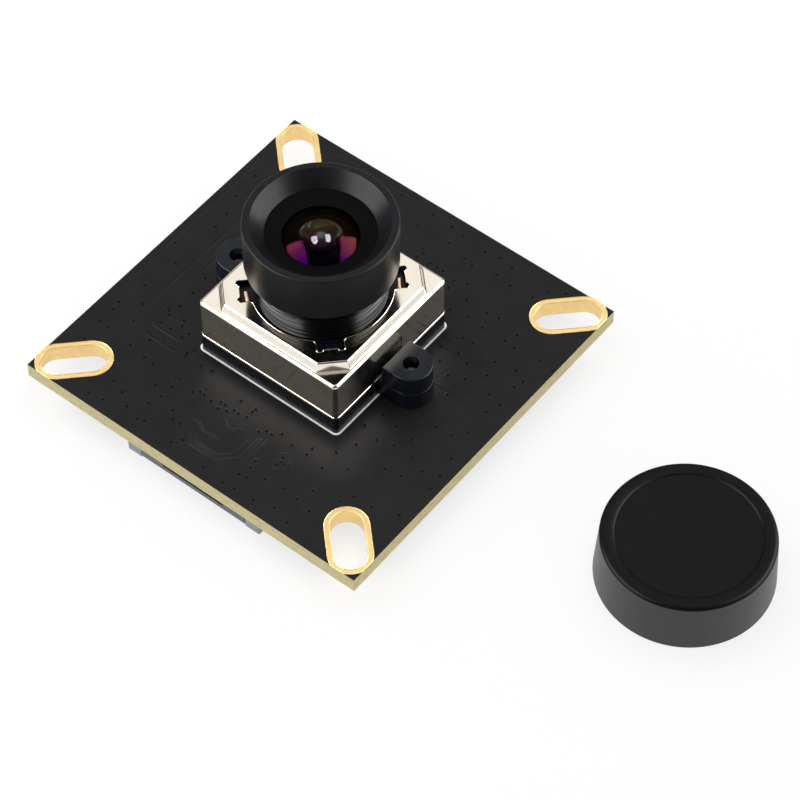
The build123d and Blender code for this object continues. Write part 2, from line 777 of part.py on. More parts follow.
# Connector housing: a cavity for the cable opens at the front, with a bay for the latch below
fpc_front = fpc_inset - board_side / 2
fpc_back = fpc_front + fpc_depth
fpc_middle_y = fpc_front + fpc_depth / 2
latch_pivot_y = fpc_front + latch_reach
cavity_top = board_bottom - fpc_wall
cavity_foot = cavity_top - cavity_height
latch_pivot_z = rest_z + latch_lift + latch_radius
bay_radius = latch_radius + latch_gap
bay_width = latch_width + 2 * latch_end_gap
with BuildPart() as fpc_housing:
    with BuildSketch(Plane.XY.offset(rest_z)):
        with Locations((fpc_x, fpc_middle_y)):
            RectangleRounded(fpc_width, fpc_depth, fpc_rounding)
    extrude(amount=fpc_height)
    with BuildSketch(Plane.XY.offset(cavity_foot)):
        with Locations((fpc_x, fpc_front + cavity_depth / 2)):
            Rectangle(cavity_width, cavity_depth)
    extrude(amount=cavity_height, mode=Mode.SUBTRACT)
    with BuildSketch(Plane.XY.offset(cavity_top - tail_slot)):
        with Locations((fpc_x, fpc_back - fpc_depth / 4)):
            Rectangle(cavity_width, fpc_depth / 2)
    extrude(amount=tail_slot, mode=Mode.SUBTRACT)
    with BuildSketch(across(fpc_x)):
        with Locations((latch_pivot_y, latch_pivot_z)):
            Circle(bay_radius)
        with Locations(((fpc_front + latch_pivot_y) / 2, (rest_z + cavity_foot) / 2)):
            Rectangle(latch_reach, cavity_foot - rest_z)
        with Locations((latch_pivot_y, (rest_z + latch_pivot_z) / 2)):
            Rectangle(2 * bay_radius, latch_pivot_z - rest_z)
    extrude(amount=bay_width / 2, both=True, mode=Mode.SUBTRACT)
    with BuildSketch(across(fpc_x)):
        with Locations((latch_pivot_y, latch_pivot_z)):
            Circle(trunnion_radius + trunnion_gap)
    extrude(amount=latch_width / 2 + trunnion_length + trunnion_gap, both=True, mode=Mode.SUBTRACT)
    with BuildSketch(Plane.XY.offset(board_bottom - anchor_size[1])):
        with GridLocations(fpc_width, 0, 2, 1):
            with Locations((fpc_x, fpc_front + anchor_place)):
                Rectangle(2 * anchor_sheet, anchor_size[0])
    extrude(amount=anchor_size[1], mode=Mode.SUBTRACT)
fpc_housing.part.label = "fpc_housing"
export_step(fpc_housing.part, "parts/fpc_housing.step")

# Connector contacts: forks of stamped sheet, each with a beam on both sides of the cable
beam_top = cavity_top - contact_gap
beam_foot = cavity_foot + contact_gap
spine_y = fpc_front + cavity_depth - contact_gap
tail_y = fpc_back + contact_tail[0]
foot_y = fpc_back + contact_tail[1]
first_contact = fpc_x - contact_pitch * (contact_count - 1) / 2
with BuildPart() as fpc_contacts:
    for contact in range(contact_count):
        with BuildSketch(across(first_contact + contact * contact_pitch)):
            with BuildLine():
                Polyline(
                    (fpc_front + contact_reach[0], beam_top - contact_sheet),
                    (fpc_front + contact_reach[0], beam_top),
                    (fpc_back, beam_top),
                    (tail_y, board_bottom),
                    (foot_y, board_bottom),
                    (foot_y, board_bottom - contact_sheet),
                    (tail_y, board_bottom - contact_sheet),
                    (fpc_back, beam_top - contact_sheet),
                    (spine_y, beam_top - contact_sheet),
                    (spine_y, beam_foot),
                    (fpc_front + contact_reach[1], beam_foot),
                    (fpc_front + contact_reach[1], beam_foot + contact_sheet),
                    (spine_y - contact_spine, beam_foot + contact_sheet),
                    (spine_y - contact_spine, beam_top - contact_sheet),
                    close=True,
                )
            make_face()
        extrude(amount=contact_width / 2, both=True)
fpc_contacts.part.label = "fpc_contacts"
export_step(fpc_contacts.part, "parts/fpc_contacts.step")

# Connector latch: a bar that turns down about the trunnions at its back, hollowed for a finger
with BuildPart() as fpc_latch:
    with BuildSketch(across(fpc_x)) as latch_section:
        with Locations((latch_pivot_y, latch_pivot_z)):
            Circle(latch_radius)
        with Locations(((fpc_front + latch_pivot_y) / 2, latch_pivot_z)):
            Rectangle(latch_reach, 2 * latch_radius)
        chamfer(latch_section.vertices().group_by(Axis.Y)[0], latch_lip)
    extrude(amount=latch_width / 2, both=True)
    with BuildSketch(Plane.XY.offset(latch_pivot_z + latch_radius - finger_depth)):
        with Locations((fpc_x, fpc_front + finger_reach / 2)):
            Rectangle(finger_width, finger_reach)
    extrude(amount=finger_depth, mode=Mode.SUBTRACT)
    with BuildSketch(across(fpc_x)):
        with Locations((latch_pivot_y, latch_pivot_z)):
            Circle(trunnion_radius)
    extrude(amount=latch_width / 2 + trunnion_length, both=True)
fpc_latch.part.label = "fpc_latch"
export_step(fpc_latch.part, "parts/fpc_latch.step")

# Connector anchors: soldered strips that hold the housing's ends down
with BuildPart() as fpc_anchors:
    for side in (-1, 1):
        wall_x = fpc_x + side * (fpc_width - anchor_sheet) / 2
        foot_x = fpc_x + side * (fpc_width + anchor_foot) / 2
        with BuildSketch(Plane.XY.offset(board_bottom - anchor_size[1])):
            with Locations((wall_x, fpc_front + anchor_place)):
                Rectangle(anchor_sheet, anchor_size[0])
        extrude(amount=anchor_size[1])
        with BuildSketch(Plane.XY.offset(board_bottom - anchor_sheet)):
            with Locations((foot_x, fpc_front + anchor_place)):
                Rectangle(anchor_foot, anchor_size[0])
        extrude(amount=anchor_sheet)
fpc_anchors.part.label = "fpc_anchors"
export_step(fpc_anchors.part, "parts/fpc_anchors.step")

# Power inductors, as high as the connector, so that the board stands level
inductor_y = board_side / 2 - inductor_inset
with BuildPart() as power_inductors:
    with BuildSketch(under_board(inductor_height)) as inductor_plan:
        with Locations((-inductor_x, inductor_y), (inductor_x, inductor_y)):
            Rectangle(inductor_side, inductor_side)
        chamfer(inductor_plan.vertices(), inductor_corner)
    extrude(amount=inductor_height)
power_inductors.part.label = "power_inductors"
export_step(power_inductors.part, "parts/power_inductors.step")

# Voltage regulators
regulator_spots = [(x, regulator_y) for x in regulator_places]
with BuildPart() as voltage_regulators:
    with BuildSketch(under_board(regulator_size[2] + regulator_lift)):
        with Locations(*regulator_spots):
            Rectangle(regulator_size[0], regulator_size[1])
    extrude(amount=regulator_size[2])
voltage_regulators.part.label = "voltage_regulators"
export_step(voltage_regulators.part, "parts/voltage_regulators.step")

# Regulator leads: three on one side and two on the other, bent down to the board
lead_height = regulator_lift + regulator_size[2] / 2
with BuildPart() as regulator_leads:
    for spot_x, spot_y in regulator_spots:
        for side, steps in ((-1, (-1, 0, 1)), (1, (-1, 1))):
            wall_y = spot_y + side * regulator_size[1] / 2
            bend_y = wall_y + side * (lead_reach - lead_foot)
            tip_y = wall_y + side * lead_reach
            for step in steps:
                with BuildSketch(across(spot_x + step * lead_pitch)):
                    with BuildLine():
                        Polyline(
                            (wall_y, board_bottom - lead_height),
                            (bend_y, board_bottom - lead_height),
                            (bend_y, board_bottom - lead_sheet),
                            (tip_y, board_bottom - lead_sheet),
                            (tip_y, board_bottom),
                            (bend_y - side * lead_sheet, board_bottom),
                            (bend_y - side * lead_sheet, board_bottom - lead_height + lead_sheet),
                            (wall_y, board_bottom - lead_height + lead_sheet),
                            close=True,
                        )
                    make_face()
                extrude(amount=lead_width / 2, both=True)
regulator_leads.part.label = "regulator_leads"
export_step(regulator_leads.part, "parts/regulator_leads.step")

# Focus driver chip
with BuildPart() as focus_driver:
    with BuildSketch(under_board(driver_size[2])):
        with Locations(driver_place):
            Rectangle(driver_size[0], driver_size[1])
    extrude(amount=driver_size[2])
focus_driver.part.label = "focus_driver"
export_step(focus_driver.part, "parts/focus_driver.step")

# Memory chip
with BuildPart() as memory_chip:
    with BuildSketch(under_board(memory_size[2])):
        with Locations(memory_place):
            Rectangle(memory_size[0], memory_size[1])
    extrude(amount=memory_size[2])
memory_chip.part.label = "memory_chip"
export_step(memory_chip.part, "parts/memory_chip.step")

# Clock oscillator: a ceramic tray with a metal lid
with BuildPart() as clock_oscillator:
    with BuildSketch(under_board(clock_size[2])):
        with Locations(clock_place):
            RectangleRounded(clock_size[0], clock_size[1], clock_lid[2])
    extrude(amount=clock_size[2])
clock_oscillator.part.label = "clock_oscillator"
export_step(clock_oscillator.part, "parts/clock_oscillator.step")

with BuildPart() as clock_cover:
    with BuildSketch(under_board(clock_size[2] + clock_lid[2])):
        with Locations(clock_place):
            RectangleRounded(clock_lid[0], clock_lid[1], clock_lid[2])
    extrude(amount=clock_lid[2])
clock_cover.part.label = "clock_cover"
export_step(clock_cover.part, "parts/clock_cover.step")


def chip_spots(places, block_count):
    """The centres of the small chips that stand in blocks of columns and rows."""
    return [
        spot.position
        for place, count in zip(places, block_count)
        for spot in Pos(*place) * GridLocations(*chip_spacing, *count)
    ]


def chip_bodies(spots, height):
    """Draws and raises the bodies of small chips, between their terminals."""
    with BuildSketch(under_board(height)) as bodies:
        with Locations(*spots):
            Rectangle(chip_length - 2 * terminal_length, chip_side)
    extrude(bodies.sketch, amount=height)


# Chip capacitors and resistors
capacitor_spots = chip_spots(capacitor_places, capacitor_count)
resistor_spots = chip_spots(resistor_places, resistor_count)
with BuildPart() as chip_capacitors:
    chip_bodies(capacitor_spots, chip_height)
chip_capacitors.part.label = "chip_capacitors"
export_step(chip_capacitors.part, "parts/chip_capacitors.step")

with BuildPart() as chip_resistors:
    chip_bodies(resistor_spots, resistor_height)
chip_resistors.part.label = "chip_resistors"
export_step(chip_resistors.part, "parts/chip_resistors.step")

# Chip terminals: the metal ends of the capacitors and resistors, a little proud of the bodies
with BuildPart() as chip_terminals:
    for spots, height in ((capacitor_spots, chip_height), (resistor_spots, resistor_height)):
        with BuildSketch(under_board(height + terminal_proud)):
            with Locations(*spots):
                with GridLocations(chip_length - terminal_length, 0, 2, 1):
                    Rectangle(terminal_length, chip_side + 2 * terminal_proud)
        extrude(amount=height + terminal_proud)
chip_terminals.part.label = "chip_terminals"
export_step(chip_terminals.part, "parts/chip_terminals.step")

# Lens cap: a tapered cup, mouth down on the surface that the module rests on
cap_bore = hood_radius + cap_gap
cap_foot_radius = cap_bore + cap_foot_wall
cap_top_radius = cap_bore + cap_top_wall
cap_panel_radius = cap_top_radius - cap_margin
cap_x = board_side / 2 + cap_apart + cap_foot_radius
cap_top = rest_z + cap_height
cap_section = Plane(origin=(cap_x, cap_y, 0), x_dir=(1, 0, 0), z_dir=(0, -1, 0))
with BuildPart() as lens_cap:
    with BuildSketch(cap_section):
        with BuildLine():
            Polyline(
                (0, cap_top - cap_roof),
                (cap_bore, cap_top - cap_roof),
                (cap_bore, rest_z),
                (cap_foot_radius, rest_z),
                (cap_top_radius, cap_top),
                (cap_panel_radius, cap_top),
                (cap_panel_radius, cap_top - cap_panel_depth),
                (0, cap_top - cap_panel_depth),
                close=True,
            )
        make_face()
    revolve(axis=Axis((cap_x, cap_y, 0), (0, 0, 1)))
    cap_rim = lens_cap.edges().filter_by(GeomType.CIRCLE).group_by(Axis.Z)[-1]
    fillet(cap_rim.sort_by(SortBy.RADIUS)[-1], cap_rounding)
lens_cap.part.label = "lens_cap"
export_step(lens_cap.part, "parts/lens_cap.step")
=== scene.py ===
# The looks of an autofocus camera module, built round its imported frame: the circuit board with its
# vias, traces and printed outline, the bright actuator cover, the lens with its thread and coated
# glass, and the lens cap. Metres, in the frame's own axes.
import math
import random

import bmesh
import bpy
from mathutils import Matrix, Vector


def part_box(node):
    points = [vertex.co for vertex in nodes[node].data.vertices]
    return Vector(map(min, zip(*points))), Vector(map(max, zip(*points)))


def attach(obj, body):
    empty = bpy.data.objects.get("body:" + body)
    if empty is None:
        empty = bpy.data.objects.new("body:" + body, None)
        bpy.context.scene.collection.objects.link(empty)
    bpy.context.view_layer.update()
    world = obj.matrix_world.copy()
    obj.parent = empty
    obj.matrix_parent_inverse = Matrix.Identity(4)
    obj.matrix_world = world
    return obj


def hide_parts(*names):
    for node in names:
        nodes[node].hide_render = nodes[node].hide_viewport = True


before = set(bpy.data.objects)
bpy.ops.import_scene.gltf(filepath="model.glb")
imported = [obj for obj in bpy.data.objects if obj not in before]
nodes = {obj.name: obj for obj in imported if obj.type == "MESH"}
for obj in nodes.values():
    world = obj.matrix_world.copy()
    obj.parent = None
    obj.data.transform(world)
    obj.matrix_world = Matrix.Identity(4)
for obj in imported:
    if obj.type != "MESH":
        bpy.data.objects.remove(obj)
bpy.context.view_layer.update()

MM = 0.001
TURN = 2 * math.pi
FINE = 192  # segments round a large turned piece

# Camera, as the photograph was taken
PHOTO_SIDE = 800
CAMERA_AZIMUTH = math.radians(38.414)
CAMERA_ELEVATION = math.radians(52.79)
CAMERA_DISTANCE = 292.44 * MM
CAMERA_TARGET = Vector((9.956, -1.196, 0.0)) * MM
CAMERA_FOCAL_PIXELS = 3255.85
SENSOR_WIDTH = 36.0
CLIP_START = 0.01


def centre_of(node):
    """The middle of a node's box."""
    low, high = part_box(node)
    return (low + high) / 2


# Places read from the frame
LENS = centre_of("lens_barrel")
HOOD_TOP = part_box("lens_barrel")[1].z
BARREL_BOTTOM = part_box("lens_barrel")[0].z
HOOD_RADIUS = (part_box("lens_barrel")[1].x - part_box("lens_barrel")[0].x) / 2
REST_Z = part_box("lens_cap")[0].z
CAP = centre_of("lens_cap")
CAP_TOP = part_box("lens_cap")[1].z


# Materials


def material(name):
    """A new material, with its node tree and its Principled shader."""
    made = bpy.data.materials.new(name)
    made.use_nodes = True
    tree = made.node_tree
    shader = tree.nodes["Principled BSDF"]
    return made, tree, shader


def coordinates(tree):
    """Object coordinates in millimetres."""
    source = tree.nodes.new("ShaderNodeTexCoord")
    mapping = tree.nodes.new("ShaderNodeMapping")
    tree.links.new(source.outputs["Object"], mapping.inputs["Vector"])
    mapping.inputs["Scale"].default_value = [1 / MM] * 3
    return mapping.outputs["Vector"]


def noise(tree, vector, scale, detail=3.0):
    """A noise texture on a vector."""
    node = tree.nodes.new("ShaderNodeTexNoise")
    node.inputs["Scale"].default_value = scale
    node.inputs["Detail"].default_value = detail
    tree.links.new(vector, node.inputs["Vector"])
    return node.outputs["Fac"]


def ramp(tree, value, low, high, from_low=0.3, from_high=0.7):
    """Maps a value to a range of numbers."""
    node = tree.nodes.new("ShaderNodeMapRange")
    node.inputs["From Min"].default_value = from_low
    node.inputs["From Max"].default_value = from_high
    node.inputs["To Min"].default_value = low
    node.inputs["To Max"].default_value = high
    tree.links.new(value, node.inputs["Value"])
    return node.outputs["Result"]


def mix_colour(tree, factor, first, second):
    """Mixes two colours, each a value or a socket, by a factor."""
    node = tree.nodes.new("ShaderNodeMix")
    node.data_type = "RGBA"
    tree.links.new(factor, node.inputs["Factor"])
    for socket, colour in ((node.inputs["A"], first), (node.inputs["B"], second)):
        if isinstance(colour, bpy.types.NodeSocket):
            tree.links.new(colour, socket)
        else:
            socket.default_value = (*colour, 1.0)
    return node.outputs["Result"]


def bump(tree, shader, height, distance):
    """Raises a height socket, in millimetres of distance, on a shader's normal."""
    node = tree.nodes.new("ShaderNodeBump")
    node.inputs["Strength"].default_value = 1.0
    node.inputs["Distance"].default_value = distance * MM
    tree.links.new(height, node.inputs["Height"])
    tree.links.new(node.outputs["Normal"], shader.inputs["Normal"])


def mottled(tree, shader, vector, colour, spread, scale):
    """Gives a shader a base colour that varies a little from place to place."""
    shade = noise(tree, vector, scale)
    dark = [c * (1 - spread) for c in colour]
    light = [min(1.0, c * (1 + spread)) for c in colour]
    socket = mix_colour(tree, ramp(tree, shade, 0, 1), dark, light)
    tree.links.new(socket, shader.inputs["Base Color"])


WEAR = 0.03  # how far the roughness of a plain surface goes up and down


def plain_finish(
    name, colour, roughness, metallic=0.0, spread=0.08, grain=0.0, grain_scale=8.0, shine=0.5
):
    """A moulded, plated or fired surface: slightly uneven colour, roughness and grain."""
    made, tree, shader = material(name)
    vector = coordinates(tree)
    mottled(tree, shader, vector, colour, spread, 1.3)
    shader.inputs["Metallic"].default_value = metallic
    shader.inputs["Specular IOR Level"].default_value = shine
    worn = noise(tree, vector, 2.1, 4.0)
    tree.links.new(ramp(tree, worn, roughness - WEAR, roughness + WEAR), shader.inputs["Roughness"])
    if grain:
        bump(tree, shader, noise(tree, vector, grain_scale, 2.0), grain)
    return made


MASK_DARK = (0.0100, 0.0100, 0.0108)
MASK_LIGHT = (0.0130, 0.0130, 0.0140)
MASK_ROUGHNESS = 0.40
MASK_SHINE = 0.10
LAMINATE_DARK = (0.50, 0.42, 0.20)
LAMINATE_LIGHT = (0.72, 0.65, 0.40)
LAMINATE_ROUGHNESS = 0.8
WEAVE_HEIGHT = 0.006


def board_finish():
    """Black solder mask over woven glass, with the bare laminate on the board's cut sides."""
    made, tree, shader = material("board_mask")
    vector = coordinates(tree)
    is_edge = tree.nodes.new("ShaderNodeMath")
    is_edge.operation = "LESS_THAN"
    is_edge.inputs[1].default_value = 0.5
    tree.links.new(upright_share(tree), is_edge.inputs[0])
    mask = mix_colour(tree, ramp(tree, noise(tree, vector, 0.35), 0, 1), MASK_DARK, MASK_LIGHT)
    strands = tree.nodes.new("ShaderNodeMapping")
    strands.inputs["Scale"].default_value = (1.2, 1.2, 9.0)
    tree.links.new(vector, strands.inputs["Vector"])
    fibre = ramp(tree, noise(tree, strands.outputs["Vector"], 1.6, 5.0), 0, 1)
    laminate = mix_colour(tree, fibre, LAMINATE_DARK, LAMINATE_LIGHT)
    colour = mix_colour(tree, is_edge.outputs[0], mask, laminate)
    tree.links.new(colour, shader.inputs["Base Color"])
    roughness = ramp(tree, is_edge.outputs[0], MASK_ROUGHNESS, LAMINATE_ROUGHNESS, 0.0, 1.0)
    tree.links.new(roughness, shader.inputs["Roughness"])
    shader.inputs["Specular IOR Level"].default_value = MASK_SHINE
    weave = noise(tree, vector, 5.0, 3.0)
    bump(tree, shader, weave, WEAVE_HEIGHT)
    return made


def upright_share(tree):
    """How far a surface faces up or down: 1 when level, 0 when it is a wall."""
    geometry = tree.nodes.new("ShaderNodeNewGeometry")
    split = tree.nodes.new("ShaderNodeSeparateXYZ")
    tree.links.new(geometry.outputs["Normal"], split.inputs["Vector"])
    upright = tree.nodes.new("ShaderNodeMath")
    upright.operation = "ABSOLUTE"
    tree.links.new(split.outputs["Z"], upright.inputs[0])
    return upright.outputs[0]


NICKEL_SILVER = (0.87, 0.80, 0.69)
WALL_ROUGHNESS = 0.16
PLATEAU_ROUGHNESS = 0.12
HAZE = 0.04
BRUSHING_HEIGHT = 0.0005


def sheet_metal_finish():
    """Bright drawn nickel silver, with faint lengthwise brushing and a little haze."""
    made, tree, shader = material("nickel_silver")
    vector = coordinates(tree)
    mottled(tree, shader, vector, NICKEL_SILVER, 0.03, 0.6)
    shader.inputs["Metallic"].default_value = 1.0
    facing_up = upright_share(tree)
    haze = ramp(tree, noise(tree, vector, 0.7, 5.0), -HAZE, HAZE)
    level = ramp(tree, facing_up, WALL_ROUGHNESS, PLATEAU_ROUGHNESS, 0.2, 0.8)
    total = tree.nodes.new("ShaderNodeMath")
    tree.links.new(haze, total.inputs[0])
    tree.links.new(level, total.inputs[1])
    tree.links.new(total.outputs[0], shader.inputs["Roughness"])
    stretched = tree.nodes.new("ShaderNodeMapping")
    stretched.inputs["Scale"].default_value = (1.0, 1.0, 3.0)
    tree.links.new(vector, stretched.inputs["Vector"])
    bump(tree, shader, noise(tree, stretched.outputs["Vector"], 2.5, 3.0), BRUSHING_HEIGHT)
    return made


TURNING_UNEVEN = 0.04
TURNING_HEIGHT = 0.004


def turned_finish(name, colour, roughness, shine):
    """Black anodised metal, with fine turning marks round the lens axis."""
    made, tree, shader = material(name)
    vector = coordinates(tree)
    mottled(tree, shader, vector, colour, 0.10, 0.9)
    shader.inputs["Metallic"].default_value = 0.0
    shader.inputs["Specular IOR Level"].default_value = shine
    worn = noise(tree, vector, 1.7, 4.0)
    low, high = roughness - TURNING_UNEVEN, roughness + TURNING_UNEVEN
    tree.links.new(ramp(tree, worn, low, high), shader.inputs["Roughness"])
    marks = tree.nodes.new("ShaderNodeMapping")
    marks.inputs["Scale"].default_value = (0.15, 0.15, 12.0)
    tree.links.new(vector, marks.inputs["Vector"])
    bump(tree, shader, noise(tree, marks.outputs["Vector"], 2.0, 2.0), TURNING_HEIGHT)
    return made


FRONT_FILM = 96.6  # nanometres: it gives the front glass its magenta reflections
FILM_UNEVEN = 0.03


def glass_finish(name, ior, film, film_ior=1.38, tint=(1.0, 1.0, 1.0)):
    """Clear glass under a slightly uneven coating, given by its thickness in nanometres."""
    made, tree, shader = material(name)
    shader.inputs["Base Color"].default_value = (*tint, 1.0)
    shader.inputs["Roughness"].default_value = 0.0
    shader.inputs["IOR"].default_value = ior
    shader.inputs["Transmission Weight"].default_value = 1.0
    low, high = (1 - FILM_UNEVEN) * film, (1 + FILM_UNEVEN) * film
    uneven = ramp(tree, noise(tree, coordinates(tree), 0.5), low, high)
    tree.links.new(uneven, shader.inputs["Thin Film Thickness"])
    shader.inputs["Thin Film IOR"].default_value = film_ior
    return made


# A plain finish: name, colour, roughness, metallic, spread of the colour, grain in mm, its scale
FINISHES = {
    "board": board_finish(),
    "gold": plain_finish("gold", (0.88, 0.64, 0.29), 0.34, 1.0, 0.05, 0.004, 6.0),
    "holder": plain_finish(
        "holder_plastic", (0.0060, 0.0080, 0.0130), 0.28, 0.0, 0.1, 0.003, 5.0, shine=0.2
    ),
    "cover": sheet_metal_finish(),
    "copper": plain_finish("copper", (0.97, 0.66, 0.47), 0.5, 0.75, 0.06, 0.003, 9.0),
    # the springs' near-black bronze is painted shade in the cover's notches
    "spring": plain_finish("spring_bronze_painted_shade", (0.050, 0.034, 0.024), 0.45, 1.0, 0.06, 0.003, 9.0),
    "magnet": plain_finish("magnet", (0.60, 0.59, 0.58), 0.2, 1.0),
    "barrel": turned_finish("anodised", (0.0075, 0.0078, 0.0096), 0.32, 0.13),
    # the thread's darker colour is painted shade under the hood; its lower roughness is its own
    # finish
    "thread": turned_finish("thread_painted_shade", (0.0020, 0.0020, 0.0025), 0.18, 0.16),
    "cell": turned_finish("cell_black", (0.0014, 0.0014, 0.0018), 0.7, 0.03),
    "edge_paint": plain_finish("edge_paint", (0.001, 0.001, 0.0014), 0.8, shine=0.02),
    "front_glass": glass_finish("front_glass", 2.0, FRONT_FILM, 1.42),
    "hollow_glass": glass_finish("hollow_glass", 1.03, 0.0),
    "dome_glass": glass_finish("dome_glass", 1.8, 0.0, 1.45, (0.45, 0.75, 0.50)),
    "inner_glass": glass_finish("inner_glass", 1.6, 240.0, 1.38, (0.60, 1.0, 0.70)),
    "filter_glass": glass_finish("filter_glass", 1.5, 420.0, 1.4, (0.62, 0.85, 0.92)),
    "silicon": plain_finish("silicon", (0.10, 0.09, 0.13), 0.12, 1.0),
    "ceramic": plain_finish("ceramic", (0.50, 0.46, 0.42), 0.6, 0.0, 0.06, 0.01, 9.0),
    "connector": plain_finish("connector_plastic", (0.26, 0.28, 0.31), 0.45, 0.0, 0.05, 0.004, 9.0),
    "latch": plain_finish("latch_plastic", (0.095, 0.105, 0.125), 0.36, 0.0, 0.08, 0.004, 9.0),
    "tin": plain_finish("tin", (0.72, 0.72, 0.70), 0.35, 1.0, 0.06, 0.01, 7.0),
    "steel": plain_finish("steel", (0.80, 0.80, 0.79), 0.30, 1.0, 0.05, 0.004, 7.0),
    "ferrite": plain_finish("ferrite", (0.10, 0.10, 0.105), 0.62, 0.0, 0.12, 0.02, 7.0),
    "epoxy": plain_finish("chip_epoxy", (0.028, 0.028, 0.029), 0.55, 0.0, 0.12, 0.012, 12.0),
    "capacitor": plain_finish("capacitor_ceramic", (0.42, 0.32, 0.21), 0.5, 0.0, 0.08, 0.006, 9.0),
    "cap_side": plain_finish("cap_side", (0.0105, 0.0112, 0.0142), 0.40, 0.0, 0.1, 0.004, 9.0),
    # the cap's top gets a darker copy of the side's colour: painted shade on the top
    "cap_top": plain_finish(
        "cap_top", (0.0040, 0.0040, 0.0050), 0.34, 0.0, 0.1, 0.003, 9.0, shine=0.08
    ),
    "print": plain_finish("white_print", (0.96, 0.97, 0.97), 0.5, 0.0, 0.03, 0.004, 9.0),
    # near-black for the discs on the vias: painted shade of their holes
    "hole": plain_finish("via_shade_disc", (0.003, 0.003, 0.003), 0.9, shine=0.02),
}

NODE_FINISHES = {
    "circuit_board": "board",
    "slot_plating": "gold",
    "holder_base": "holder",
    "actuator_base": "holder",
    "spring_spacer": "holder",
    "lens_carrier": "holder",
    "module_screws": "steel",
    "clock_cover": "steel",
    "sensor_package": "ceramic",
    "clock_oscillator": "ceramic",
    "sensor_die": "silicon",
    "sensor_window": "filter_glass",
    "infrared_filter": "filter_glass",
    "lower_spring": "spring",
    "upper_spring": "spring",
    "focus_coil": "copper",
    "coil_tabs": "copper",
    "magnets": "magnet",
    "actuator_cover": "cover",
    "fpc_housing": "connector",
    "fpc_latch": "latch",
    "fpc_contacts": "gold",
    "fpc_anchors": "tin",
    "regulator_leads": "tin",
    "chip_terminals": "tin",
    "power_inductors": "ferrite",
    "voltage_regulators": "epoxy",
    "focus_driver": "epoxy",
    "memory_chip": "epoxy",
    "chip_resistors": "epoxy",
    "chip_capacitors": "capacitor",
    "aperture_stop": "cell",
    "stop_spacer": "cell",
    "middle_spacer": "cell",
    "rear_spacer": "cell",
    "third_element": "inner_glass",
    "fourth_element": "inner_glass",
    "rear_element": "inner_glass",
}
for node_name, finish in NODE_FINISHES.items():
    mesh = nodes[node_name].data
    mesh.materials.clear()
    mesh.materials.append(FINISHES[finish])


# Mesh helpers


SHARP_ANGLE = 32.0  # degrees between two faces from which their edge stays sharp


def finish_mesh(name, mesh, finish, angle=SHARP_ANGLE):
    """Makes an object of a mesh, smooth but for its sharp edges, with one finish."""
    mesh.materials.append(FINISHES[finish])
    mesh.polygons.foreach_set("use_smooth", [True] * len(mesh.polygons))
    mesh.set_sharp_from_angle(angle=math.radians(angle))
    made = bpy.data.objects.new(name, mesh)
    bpy.context.scene.collection.objects.link(made)
    return made


def finish_bmesh(name, bm, finish, angle=SHARP_ANGLE):
    """Makes an object of a bmesh, with its faces turned outward, and frees the bmesh."""
    bmesh.ops.recalc_face_normals(bm, faces=bm.faces)
    mesh = bpy.data.meshes.new(name)
    bm.to_mesh(mesh)
    bm.free()
    return finish_mesh(name, mesh, finish, angle)


ARC_STEPS = 8
GLASS_STEPS = 32
ON_AXIS = 1e-6  # a radius below it counts as none


def arc(centre, radius, start, end):
    """Points along an arc in a profile, in degrees from outward, counterclockwise."""
    turns = [math.radians(start + (end - start) * i / ARC_STEPS) for i in range(ARC_STEPS + 1)]
    return [
        (centre[0] + radius * math.cos(turn), centre[1] + radius * math.sin(turn))
        for turn in turns
    ]


def dome(radius, rim_z, vertex_z):
    """Points on a spherical face, from its vertex on the axis out to its lower rim."""
    sag = vertex_z - rim_z
    curve = (radius**2 + sag**2) / (2 * sag)
    places = [radius * i / GLASS_STEPS for i in range(GLASS_STEPS + 1)]
    return [(place, vertex_z - (curve - math.sqrt(curve**2 - place**2))) for place in places]


def lathe(bm, centre, profile, segments=FINE):
    """Turns a profile of (radius, height) in millimetres about a vertical axis."""
    columns = []
    for step in range(segments):
        turn = TURN * step / segments
        column = []
        for radius, height in profile:
            if radius < ON_AXIS and step:
                column.append(columns[0][len(column)])
                continue
            column.append(
                bm.verts.new(
                    (
                        centre.x + radius * MM * math.cos(turn),
                        centre.y + radius * MM * math.sin(turn),
                        height * MM,
                    )
                )
            )
        columns.append(column)
    count = len(profile)
    for step in range(segments):
        here, beside = columns[step], columns[(step + 1) % segments]
        for i in range(count):
            j = (i + 1) % count
            corners = []
            for corner in (here[i], beside[i], beside[j], here[j]):
                if corner not in corners:
                    corners.append(corner)
            if len(corners) > 2:
                bm.faces.new(corners)


def turned(name, centre, profile, finish, angle=SHARP_ANGLE):
    """A turned piece of its own."""
    bm = bmesh.new()
    lathe(bm, centre, profile)
    return finish_bmesh(name, bm, finish, angle)


# Lens barrel: hood, cone and threaded body, as one turned piece
THREAD_ROOT = 5.70
THREAD_CREST = 5.99
THREAD_PITCH = 0.5
HOOD_BOTTOM = 11.23
HOOD_ROUNDING = 0.18
RIM_INNER = 6.22
RIM_CHAMFER = (0.05, 0.04)  # this one and those below: width and height
CONE_FOOT = (5.0, 14.77)
FRONT_BORE = 5.0
CELL_TOP = 12.6
CELL_BORE = 4.0
CELL_BOTTOM = 3.95
CELL_LIP = 3.2
FOOT_CHAMFER = 0.3
HOOD_CHAMFER = 0.06
THREAD_FOOT = 6.2
THREAD_RUNOUT = 0.3  # plain stretch between the thread and the hood
THREAD_SEGMENTS = 144
THREAD_CREST_HALF = 0.05
THREAD_RIDGE_SHARE = 0.48  # half the ridge's width, as a share of the pitch
BURIED = 0.05  # how deep the ridge's foot lies in the barrel
# below this height the thread takes a darker colour than the hood: painted shade under the hood
THREAD_SHADE_TOP = HOOD_BOTTOM - 0.02  # just short of the hood's level underside


